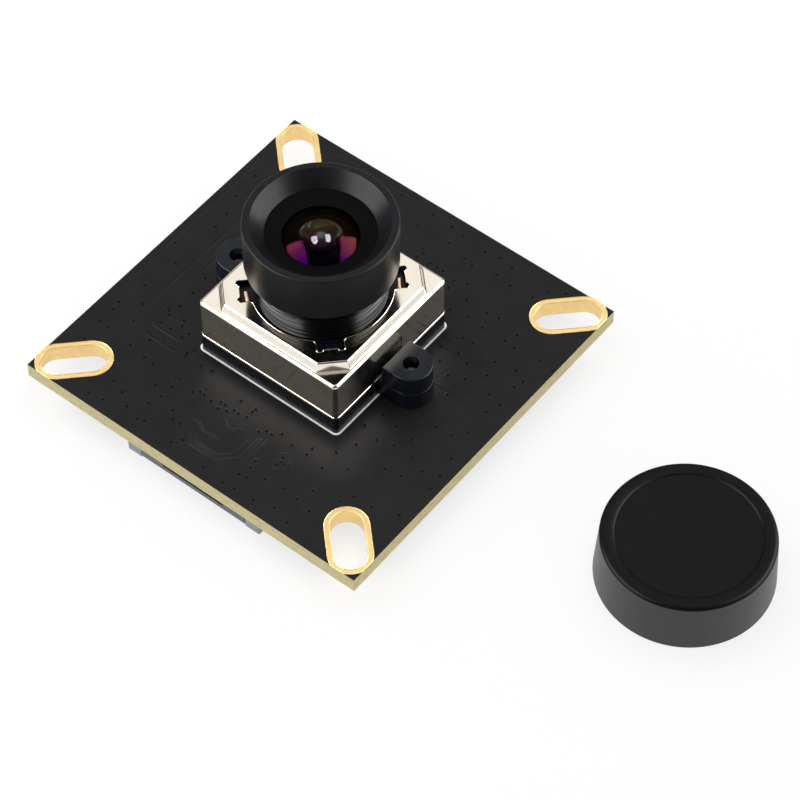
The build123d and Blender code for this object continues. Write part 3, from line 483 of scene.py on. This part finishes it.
def barrel_profile():
    """The barrel's section, from the lip at its foot up the outside and down the inside."""
    top = HOOD_TOP / MM
    foot = BARREL_BOTTOM / MM
    radius = HOOD_RADIUS / MM
    corner = (radius - HOOD_ROUNDING, top - HOOD_ROUNDING)
    return (
        [(CELL_LIP, foot), (THREAD_ROOT - FOOT_CHAMFER, foot)]
        + [(THREAD_ROOT, foot + FOOT_CHAMFER), (THREAD_ROOT, HOOD_BOTTOM)]
        + [(radius - HOOD_CHAMFER, HOOD_BOTTOM), (radius, HOOD_BOTTOM + HOOD_CHAMFER)]
        + arc(corner, HOOD_ROUNDING, 0, 90)
        + [(RIM_INNER + RIM_CHAMFER[0], top), (RIM_INNER, top - RIM_CHAMFER[1]), CONE_FOOT]
        + [(FRONT_BORE, CELL_TOP), (CELL_BORE, CELL_TOP), (CELL_BORE, CELL_BOTTOM)]
        + [(CELL_LIP, CELL_BOTTOM)]
    )


def thread_ridge(bm, centre, foot, top):
    """Winds the thread's ridge as a helix on the barrel's body."""
    turns = (top - foot) / THREAD_PITCH
    steps = int(turns * THREAD_SEGMENTS)
    half = THREAD_PITCH * THREAD_RIDGE_SHARE
    section = [
        (THREAD_ROOT - BURIED, -half),
        (THREAD_ROOT, -half),
        (THREAD_CREST, -THREAD_CREST_HALF),
        (THREAD_CREST, THREAD_CREST_HALF),
        (THREAD_ROOT, half),
        (THREAD_ROOT - BURIED, half),
    ]
    rings = []
    for step in range(steps + 1):
        turn = TURN * step / THREAD_SEGMENTS
        height = foot + THREAD_PITCH * step / THREAD_SEGMENTS
        rings.append(
            [
                bm.verts.new(
                    (
                        centre.x + radius * MM * math.cos(turn),
                        centre.y + radius * MM * math.sin(turn),
                        (height + rise) * MM,
                    )
                )
                for radius, rise in section
            ]
        )
    count = len(section)
    for here, beside in zip(rings, rings[1:]):
        for i in range(count):
            j = (i + 1) % count
            bm.faces.new((here[i], beside[i], beside[j], here[j]))
    bm.faces.new(rings[0])
    bm.faces.new(rings[-1])


def make_barrel():
    """The barrel, with painted shade on its thread: below the hood the thread's finish is darker,
    and glossier, than the hood's.
    """
    bm = bmesh.new()
    lathe(bm, LENS, barrel_profile())
    thread_ridge(bm, LENS, THREAD_FOOT, HOOD_BOTTOM - THREAD_RUNOUT)
    made = finish_bmesh("threaded_barrel", bm, "barrel")
    made.data.materials.append(FINISHES["thread"])
    # faces under the hood take the darker thread colour: painted shade
    for face in made.data.polygons:
        face.material_index = 1 if face.center.z < THREAD_SHADE_TOP * MM else 0
    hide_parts("lens_barrel")
    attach(made, "lens_carriage")


make_barrel()

# Retaining ring
RING_OUTER = 4.97
RING_INNER = 3.48
RING_FOOT = 13.66
RING_TOP = 14.73
RING_CHAMFER = (0.08, 0.01)
RING_LIP_FOOT = 14.15
RING_LIP_TOP = 14.22
RING_LIP_CHAMFER = (0.06, 0.03)


def make_ring():
    """The ring that holds the front glass, sloped down to a thin inner edge."""
    profile = [
        (RING_OUTER, RING_FOOT),
        (RING_OUTER, RING_TOP - RING_CHAMFER[1]),
        (RING_OUTER - RING_CHAMFER[0], RING_TOP),
        (RING_INNER + RING_LIP_CHAMFER[0], RING_LIP_TOP + RING_LIP_CHAMFER[1]),
        (RING_INNER, RING_LIP_TOP),
        (RING_INNER, RING_LIP_FOOT),
    ]
    ring = turned("front_retainer", LENS, profile, "cell")
    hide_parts("retaining_ring")
    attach(ring, "lens_carriage")


make_ring()

# Front glass: a strongly curved meniscus, with a land for the ring
GLASS_ANGLE = 25.0
FRONT_RADIUS = 4.0
FRONT_RIM = 13.65
FRONT_VERTEX = 15.25
LAND_INNER = 4.05
LAND_OUTER = 4.96
LAND_TOP = 13.62
HOLLOW_RADIUS = 2.9
HOLLOW_VERTEX = 14.07
CLEAR_RADIUS = 1.9  # the glass is painted black outside it, behind and at its edge
OUTER_FACE, HOLLOW_FACE, PAINTED_FACE = range(3)


def make_front_glass():
    """The front glass, with a finish of its own on its hollow face and black paint round it."""
    profile = (
        dome(FRONT_RADIUS, FRONT_RIM, FRONT_VERTEX)
        + [(LAND_INNER, LAND_TOP), (LAND_OUTER, LAND_TOP), (LAND_OUTER, CELL_TOP)]
        + dome(HOLLOW_RADIUS, CELL_TOP, HOLLOW_VERTEX)[::-1]
    )
    front = turned("front_glass", LENS, profile, "front_glass", angle=GLASS_ANGLE)
    front.data.materials.append(FINISHES["hollow_glass"])
    front.data.materials.append(FINISHES["edge_paint"])
    for face in front.data.polygons:
        reach = (face.center - Vector((LENS.x, LENS.y, face.center.z))).length / MM
        looks_down = face.normal.z < 0
        if reach > FRONT_RADIUS or (looks_down and reach > CLEAR_RADIUS):
            face.material_index = PAINTED_FACE
        else:
            face.material_index = HOLLOW_FACE if looks_down else OUTER_FACE
    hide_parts("front_element")
    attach(front, "lens_carriage")


make_front_glass()

# Second glass, a deep dome on a flange, and the spacer round it
DOME_RADIUS = 1.75
DOME_RIM = 12.12
DOME_VERTEX = 13.869
FLANGE_RADIUS = 3.97
FLANGE_TOP = 11.7
FLANGE_FOOT = 10.9
SPACER_FOOT_BORE = 1.85
SPACER_TOP_BORE = 3.05


def make_dome():
    """The second glass."""
    profile = dome(DOME_RADIUS, DOME_RIM, DOME_VERTEX)
    profile += [(DOME_RADIUS, FLANGE_TOP), (FLANGE_RADIUS, FLANGE_TOP)]
    profile += [(FLANGE_RADIUS, FLANGE_FOOT), (0, FLANGE_FOOT)]
    second = turned("dome_glass", LENS, profile, "dome_glass", angle=GLASS_ANGLE)
    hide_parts("second_element")
    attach(second, "lens_carriage")


def make_spacer():
    """The black funnel between the second glass and the front one."""
    profile = [
        (SPACER_FOOT_BORE, FLANGE_TOP),
        (FLANGE_RADIUS, FLANGE_TOP),
        (FLANGE_RADIUS, CELL_TOP),
        (SPACER_TOP_BORE, CELL_TOP),
    ]
    funnel = turned("dome_spacer", LENS, profile, "cell")
    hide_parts("front_spacer")
    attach(funnel, "lens_carriage")


make_dome()
make_spacer()

# Lens cap
CAP_BORE = 7.06
CAP_ROOF = 0.9
CAP_BORE_CHAMFER = (0.16, 0.15)
CAP_FOOT_RADIUS = 8.09
CAP_FOOT_CHAMFER = 0.06
CAP_ROUNDING = 0.4
CAP_ROUNDING_RADIUS = 7.39  # where the centre of the rounded top edge lies
CAP_DRAFT = 3  # degrees by which the side leans in
CAP_RIM = 6.60  # inner edge of the raised rim round the sunken top
CAP_RIM_STEPS = [(0.0, 0.0), (0.08, 0.04), (0.14, 0.11), (0.24, 0.12)]  # inward and down from it
CAP_SINK = 0.12
LEVEL_SHARE = 0.3  # how much a face of the cap looks up to count as its top


def make_cap():
    """The push-on cap, with a sunken top inside a raised rim, and painted shade on its top: a darker
    colour than its side.
    """
    top = CAP_TOP / MM
    foot = REST_Z / MM
    profile = (
        [(0, top - CAP_ROOF), (CAP_BORE - CAP_BORE_CHAMFER[0], top - CAP_ROOF)]
        + [(CAP_BORE, top - CAP_ROOF - CAP_BORE_CHAMFER[1]), (CAP_BORE, foot)]
        + [(CAP_FOOT_RADIUS - CAP_FOOT_CHAMFER, foot), (CAP_FOOT_RADIUS, foot + CAP_FOOT_CHAMFER)]
        + arc((CAP_ROUNDING_RADIUS, top - CAP_ROUNDING), CAP_ROUNDING, CAP_DRAFT, 90)
        + [(CAP_RIM - inward, top - down) for inward, down in CAP_RIM_STEPS]
        + [(0, top - CAP_SINK)]
    )
    cap = turned("push_on_cap", CAP, profile, "cap_side")
    cap.data.materials.append(FINISHES["cap_top"])
    # faces that look up take the darker top colour: painted shade on the top
    for face in cap.data.polygons:
        face.material_index = 1 if face.normal.z > LEVEL_SHARE else 0
    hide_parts("lens_cap")
    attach(cap, "board")


make_cap()


# Printed outline round the holder


def rounded_square(half, radius):
    """Points round a square with rounded corners, in millimetres."""
    points = []
    for quarter in range(4):
        middle = (half - radius) * math.sqrt(2)
        turn = 45 + 90 * quarter
        centre = (middle * math.cos(math.radians(turn)), middle * math.sin(math.radians(turn)))
        points += arc(centre, radius, turn - 45, turn + 45)
    return points


def flat_band(name, outer, inner, centre, foot, top, finish):
    """A closed band between two outlines of as many points, between two heights."""
    bm = bmesh.new()
    rings = [
        [bm.verts.new((centre.x + x * MM, centre.y + y * MM, z * MM)) for x, y in outline]
        for outline, z in ((outer, foot), (outer, top), (inner, top), (inner, foot))
    ]
    count = len(outer)
    for i in range(count):
        j = (i + 1) % count
        for k in range(4):
            here, above = rings[k], rings[(k + 1) % 4]
            bm.faces.new((here[i], here[j], above[j], above[i]))
    return finish_bmesh(name, bm, finish)


PRINT_OUTER = (8.15, 0.6)  # half its side and its corner's radius
PRINT_INNER = (7.96, 0.42)
PRINT_HEIGHT = 0.02
outline = flat_band(
    "printed_outline",
    rounded_square(*PRINT_OUTER),
    rounded_square(*PRINT_INNER),
    LENS,
    0.0,
    PRINT_HEIGHT,
    "print",
)
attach(outline, "board")


# Polished edges of the cover's opening and of the slots
SAME_HEIGHT = 2e-5
SAME_PLACE = 1e-7
EDGE_TURN = 0.5  # how far the upright parts of two normals differ at an edge
LEAST_LOOP = 8  # points; a shorter line isn't followed
COVER_BEAD = 0.024
SLOT_BEAD = 0.03


def edge_loops(mesh, height):
    """The closed lines where a level face at a height meets a wall, as lists of points."""
    bm = bmesh.new()
    bm.from_mesh(mesh)
    bmesh.ops.remove_doubles(bm, verts=bm.verts, dist=SAME_PLACE)
    beside = {}
    for edge in bm.edges:
        if len(edge.link_faces) != 2:
            continue
        if any(abs(v.co.z - height) > SAME_HEIGHT for v in edge.verts):
            continue
        first, second = (abs(face.normal.z) for face in edge.link_faces)
        if abs(first - second) > EDGE_TURN:
            here, there = edge.verts
            beside.setdefault(here, []).append(there)
            beside.setdefault(there, []).append(here)
    loops = []
    left = list(beside)
    while left:
        here = left.pop(0)
        loop = [here]
        while True:
            onward = [v for v in beside[here] if v in left]
            if not onward:
                break
            here = onward[0]
            left.remove(here)
            loop.append(here)
        if len(loop) > LEAST_LOOP:
            loops.append([v.co.copy() for v in loop])
    bm.free()
    return loops


def polished_edge(name, loops, radius, finish):
    """A thin rounded bead that follows closed lines."""
    curve = bpy.data.curves.new(name, "CURVE")
    curve.dimensions = "3D"
    curve.bevel_depth = radius * MM
    curve.bevel_resolution = 2
    for loop in loops:
        spline = curve.splines.new("POLY")
        spline.points.add(len(loop) - 1)
        for point, place in zip(spline.points, loop):
            point.co = (*place, 1.0)
        spline.use_cyclic_u = True
    holder = bpy.data.objects.new(name, curve)
    bpy.context.scene.collection.objects.link(holder)
    mesh = bpy.data.meshes.new_from_object(holder)
    bpy.data.objects.remove(holder)
    mesh.materials.clear()
    return finish_mesh(name, mesh, finish)


COVER_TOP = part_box("actuator_cover")[1].z
bead = polished_edge(
    "cover_edge", edge_loops(nodes["actuator_cover"].data, COVER_TOP), COVER_BEAD, "cover"
)
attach(bead, "board")
SLOT_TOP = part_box("slot_plating")[1].z
slot_edge = polished_edge(
    "slot_edge", edge_loops(nodes["slot_plating"].data, SLOT_TOP), SLOT_BEAD, "gold"
)
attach(slot_edge, "board")


# Board relief: vias and traces under the solder mask, in millimetres from the board's centre
SUNK = 0.02  # how deep the relief's foot lies in the board
RELIEF_ANGLE = 50.0
VIA_SEGMENTS = 10
VIA_RING = [
    (0.34, -SUNK), (0.34, 0.0), (0.25, 0.018), (0.18, 0.018), (0.12, 0.002), (0.12, -SUNK),
]
# a flat near-black disc over each via's middle: painted shade standing in for its drilled hole
VIA_SHADE_DISC = [(0.122, -SUNK), (0.122, 0.004), (0.0, 0.004), (0.0, -SUNK)]
FRONT_ROW = [
    (-5.2, -12.1), (-4.7, -11.65), (-4.2, -11.7), (-3.25, -11.85), (-2.45, -11.4), (-1.95, -11.4),
    (-1.45, -11.85), (-2.25, -12.1), (-0.95, -11.4), (-0.4, -11.4), (0.45, -11.25), (0.45, -10.5),
    (2.3, -11.85), (2.8, -11.35), (3.4, -11.35), (4.1, -10.75),
]
CLUSTER = [(5.85, -12.7), (6.5, -13.2), (5.9, -13.6)]
CLUSTER_RING = [
    (0.62, -SUNK), (0.62, 0.0), (0.56, 0.02), (0.46, 0.02), (0.40, 0.0), (0.40, -SUNK),
]
LOOSE_FRONT = [
    (-5.3, -14.75), (-4.6, -15.5), (-3.8, -15.5), (-7.1, -11.7), (-7.1, -12.8), (-7.1, -14.2),
    (4.15, -14.5), (4.25, -15.3), (4.7, -16.35), (3.9, -16.5), (-2.4, -16.7), (-6.5, -17.2),
]
LEFT_COLUMN = [
    (-12.9, -1.3), (-12.7, -3.35), (-12.6, -5.25), (-12.75, -6.7), (-12.75, -7.8), (-10.9, -6.9),
    (-9.8, -7.25), (-9.3, -9.35), (-8.5, -9.0), (-8.2, -8.4),
]
BACK_ROW = [(1.1, 13.5), (0.8, 12.8), (2.3, 13.0), (3.05, 13.0), (3.8, 13.0), (5.3, 12.7)]
TRACE_WIDTH = 0.30
TRACE_HEIGHT = 0.045
TRACE_EASE = 0.3  # the length over which a trace's end comes down
TRACE_TOP_SHARE = 0.45
TRACE_END_HEIGHT = 0.001
SHARPEST_MITRE = 0.5
TRACES = [
    [(-15.0, 8.0), (-15.0, -8.1), (-14.1, -9.0)],
    [(-13.7, 6.0), (-13.7, -7.7), (-12.9, -8.4), (-10.0, -8.4), (-8.9, -7.4)],
    [(-13.0, -9.6), (-9.6, -9.6), (-8.2, -8.4)],
    [(-6.5, -11.0), (-6.5, -14.6)],
    [(-4.4, -12.2), (-4.4, -14.2)],
    [(2.8, -12.4), (2.8, -15.2), (1.4, -16.6), (-1.6, -16.6), (-2.6, -15.6)],
    [(2.2, -13.0), (2.2, -15.0), (1.1, -16.1), (-1.3, -16.1), (-2.1, -15.3), (-2.1, -14.8)],
    [(3.1, -12.2), (3.1, -16.0)],
    [(3.55, -12.2), (3.55, -15.8)],
    [(-1.0, -12.6), (-0.4, -13.0), (0.4, -13.0), (1.0, -12.6)],
    [(-3.4, -14.3), (-2.4, -14.3), (-1.8, -14.7), (0.1, -14.7)],
    [(8.4, 7.0), (13.4, 7.0)],
    [(8.4, 6.1), (12.9, 6.1), (13.7, 6.2)],
    [(11.2, 3.2), (16.0, 3.2), (16.6, 2.7)],
    [(11.2, 2.3), (15.9, 2.3)],
    [(-2.5, 14.2), (1.0, 14.2)],
    [(1.8, 13.45), (4.3, 13.45)],
    [(6.0, 12.2), (9.4, 11.8)],
    [(-18.3, 13.4), (-18.3, -13.0)],
    [(-13.0, 18.3), (13.0, 18.3)],
]
GRID = 1.95
GRID_PLAY = 0.6
GRID_GAPS = 0.16
GRID_EDGE = 18.35
GRID_SEED = 38
SLOT_PLACE = 16.0
SLOT_CLEAR = 2.35  # from the middle line of a slot
SLOT_HALF_STRAIGHT = 1.6
FRONT_FIELD = (-7.3, 5.0, -17.2, -10.2)  # where the traces lie: least and most x, then y
LEFT_FIELD = (-15.4, -13.2, -9.0, 7.0)
HOLDER_CLEAR = 8.75
BOSS_PLACE = 10.1
BOSS_CLEAR = 2.7


def is_open(x, y):
    """Whether a scattered via fits at a place on the board's top."""
    if abs(x) < HOLDER_CLEAR and abs(y) < HOLDER_CLEAR:
        return False
    if math.hypot(abs(x) - BOSS_PLACE, y - LENS.y / MM) < BOSS_CLEAR:
        return False
    along = (abs(x) + abs(y)) / math.sqrt(2) - SLOT_PLACE * math.sqrt(2)
    across = (abs(x) - abs(y)) / math.sqrt(2)
    if math.hypot(max(0.0, abs(along) - SLOT_HALF_STRAIGHT), across) < SLOT_CLEAR:
        return False
    fields = (FRONT_FIELD, LEFT_FIELD)
    return not any(left < x < right and near < y < far for left, right, near, far in fields)


def scattered_vias():
    """Stitching vias all over the board's top, a little out of line."""
    chance = random.Random(GRID_SEED)
    count = int(GRID_EDGE / GRID)
    places = []
    for row in range(-count, count + 1):
        for column in range(-count, count + 1):
            x = column * GRID + (GRID / 2 if row % 2 else 0.0)
            x += chance.uniform(-GRID_PLAY, GRID_PLAY)
            y = row * GRID + chance.uniform(-GRID_PLAY, GRID_PLAY)
            keep = chance.random() > GRID_GAPS
            if keep and max(abs(x), abs(y)) < GRID_EDGE and is_open(x, y):
                places.append((x, y))
    return places


def trace_ridge(bm, points):
    """A low ridge with sloped sides and ends along a line of points."""
    half = TRACE_WIDTH / 2
    section = [(-half, -SUNK), (-half, 0.0), (-half * TRACE_TOP_SHARE, TRACE_HEIGHT)]
    section += [(-side, height) for side, height in section[::-1]]
    line = [Vector((x, y)) for x, y in points]
    line.insert(1, line[0] + (line[1] - line[0]).normalized() * TRACE_EASE)
    line.insert(-1, line[-1] + (line[-2] - line[-1]).normalized() * TRACE_EASE)
    rings = []
    for i, place in enumerate(line):
        before = (place - line[i - 1]).normalized() if i else None
        after = (line[i + 1] - place).normalized() if i + 1 < len(line) else None
        way = ((before or after) + (after or before)).normalized()
        normal = Vector((-way.y, way.x))
        stretch = 1 / max(SHARPEST_MITRE, way.dot(after or before))
        ceiling = TRACE_HEIGHT if before and after else TRACE_END_HEIGHT
        rings.append(
            [
                bm.verts.new(
                    (
                        (place.x + normal.x * side * stretch) * MM,
                        (place.y + normal.y * side * stretch) * MM,
                        min(height, ceiling) * MM,
                    )
                )
                for side, height in section
            ]
        )
    count = len(section)
    for here, there in zip(rings, rings[1:]):
        for i in range(count):
            j = (i + 1) % count
            bm.faces.new((here[i], there[i], there[j], here[j]))
    bm.faces.new(rings[0])
    bm.faces.new(rings[-1])


def board_relief():
    """The vias' rims and the traces as one piece, and as another the flat dark discs on the vias:
    painted shade standing in for their holes.
    """
    rims, shade_discs = bmesh.new(), bmesh.new()
    hand_placed = FRONT_ROW + CLUSTER + LOOSE_FRONT + LEFT_COLUMN + BACK_ROW
    for x, y in hand_placed + scattered_vias():
        place = Vector((x * MM, y * MM, 0.0))
        lathe(rims, place, VIA_RING, VIA_SEGMENTS)
        lathe(shade_discs, place, VIA_SHADE_DISC, VIA_SEGMENTS)
    for x, y in CLUSTER:
        place = Vector((x * MM, y * MM, 0.0))
        lathe(rims, place, CLUSTER_RING, 2 * VIA_SEGMENTS)
    for points in TRACES:
        trace_ridge(rims, points)
    for name, bm, finish in (("board_relief", rims, "board"), ("via_shade_discs", shade_discs, "hole")):
        made = finish_bmesh(name, bm, finish, RELIEF_ANGLE)
        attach(made, "board")


board_relief()


# Floor, light and camera
WHITE = (1.0, 1.0, 1.0, 1.0)
FLOOR_SHADE = 0.22
FLOOR_ROUGHNESS = 0.9
FLOOR_GLOW = 0.76
FLOOR_GAP = 0.01 * MM
FLOOR_REACH = 1.2


def make_floor():
    """A pale floor that keeps the object's shadow."""
    mesh = bpy.data.meshes.new("floor")
    level = REST_Z - FLOOR_GAP
    signs = [(-1, -1), (1, -1), (1, 1), (-1, 1)]
    corners = [(x * FLOOR_REACH, y * FLOOR_REACH, level) for x, y in signs]
    mesh.from_pydata(corners, [], [(0, 1, 2, 3)])
    made = bpy.data.objects.new("floor", mesh)
    bpy.context.scene.collection.objects.link(made)
    paper, _, shader = material("paper")
    shader.inputs["Base Color"].default_value = (FLOOR_SHADE, FLOOR_SHADE, FLOOR_SHADE, 1.0)
    shader.inputs["Roughness"].default_value = FLOOR_ROUGHNESS
    shader.inputs["Specular IOR Level"].default_value = 0.0
    shader.inputs["Emission Color"].default_value = WHITE
    shader.inputs["Emission Strength"].default_value = FLOOR_GLOW
    mesh.materials.append(paper)


make_floor()

TENT_SIDE = (-0.30, 0.38, 0.87)  # the direction in which polished faces see it bright
TENT_DARK = 0.10
TENT_BRIGHT = 1.05
TENT_SPREAD = (0.79, 0.93)
TENT_LIGHT = 0.65


def make_world():
    """A white tent, seen white from outside, and by polished faces bright on one side only."""
    world = bpy.data.worlds.new("tent")
    bpy.context.scene.world = world
    world.use_nodes = True
    tree = world.node_tree
    shader = tree.nodes["Background"]
    shader.inputs["Color"].default_value = WHITE
    place = tree.nodes.new("ShaderNodeTexCoord")
    toward = tree.nodes.new("ShaderNodeVectorMath")
    toward.operation = "DOT_PRODUCT"
    toward.inputs[1].default_value = Vector(TENT_SIDE).normalized()
    tree.links.new(place.outputs["Generated"], toward.inputs[0])
    tent = ramp(tree, toward.outputs["Value"], TENT_DARK, TENT_BRIGHT, *TENT_SPREAD)
    path = tree.nodes.new("ShaderNodeLightPath")
    diffuse = choose(tree, path.outputs["Is Diffuse Ray"], tent, TENT_LIGHT)
    seen = choose(tree, path.outputs["Is Camera Ray"], diffuse, 1.0)
    tree.links.new(seen, shader.inputs["Strength"])


def choose(tree, switch, otherwise, value):
    """A number where the switch is on, and another socket's where it is off."""
    node = tree.nodes.new("ShaderNodeMix")
    node.inputs["B"].default_value = value
    tree.links.new(switch, node.inputs["Factor"])
    tree.links.new(otherwise, node.inputs["A"])
    return node.outputs["Result"]


make_world()


def softbox(name, direction, distance, side, watts, seen_in_gloss):
    """A square area light that looks at the object, for polished faces or for matt ones."""
    data = bpy.data.lights.new(name, "AREA")
    data.shape = "SQUARE"
    data.size = side
    data.energy = watts
    made = bpy.data.objects.new(name, data)
    bpy.context.scene.collection.objects.link(made)
    made.visible_glossy = seen_in_gloss
    made.visible_transmission = seen_in_gloss
    made.visible_diffuse = not seen_in_gloss
    way = Vector(direction).normalized()
    made.location = CAMERA_TARGET + way * distance
    made.rotation_euler = way.to_track_quat("Z", "Y").to_euler()


GLOSS_DISTANCE = 0.45
GLOSS_SIDE = 0.46
GLOSS_WATTS = 5.4
LAMPS = [
    ("left_gloss", (-0.534, -0.614, 0.58), GLOSS_DISTANCE, GLOSS_SIDE, GLOSS_WATTS, True),
    ("right_gloss", (0.596, 0.600, 0.53), GLOSS_DISTANCE, GLOSS_SIDE, GLOSS_WATTS, True),
    ("top_light", (-0.15, 0.2, 1.0), 0.6, 0.6, 1.6, False),
    ("left_light", (-0.8, -0.3, 0.7), 0.5, 0.4, 0.6, False),
]
for lamp in LAMPS:
    softbox(*lamp)


def make_camera():
    """The camera, where the photograph was taken from."""
    data = bpy.data.cameras.new("camera")
    data.sensor_fit = "HORIZONTAL"
    data.sensor_width = SENSOR_WIDTH
    data.lens = SENSOR_WIDTH * CAMERA_FOCAL_PIXELS / PHOTO_SIDE
    data.clip_start = CLIP_START
    made = bpy.data.objects.new("camera", data)
    bpy.context.scene.collection.objects.link(made)
    back = Vector(
        (
            math.sin(CAMERA_AZIMUTH) * math.cos(CAMERA_ELEVATION),
            -math.cos(CAMERA_AZIMUTH) * math.cos(CAMERA_ELEVATION),
            math.sin(CAMERA_ELEVATION),
        )
    )
    made.location = CAMERA_TARGET + back * CAMERA_DISTANCE
    made.rotation_euler = back.to_track_quat("Z", "Y").to_euler()
    bpy.context.scene.camera = made


make_camera()
bpy.context.scene.view_settings.view_transform = "Standard"
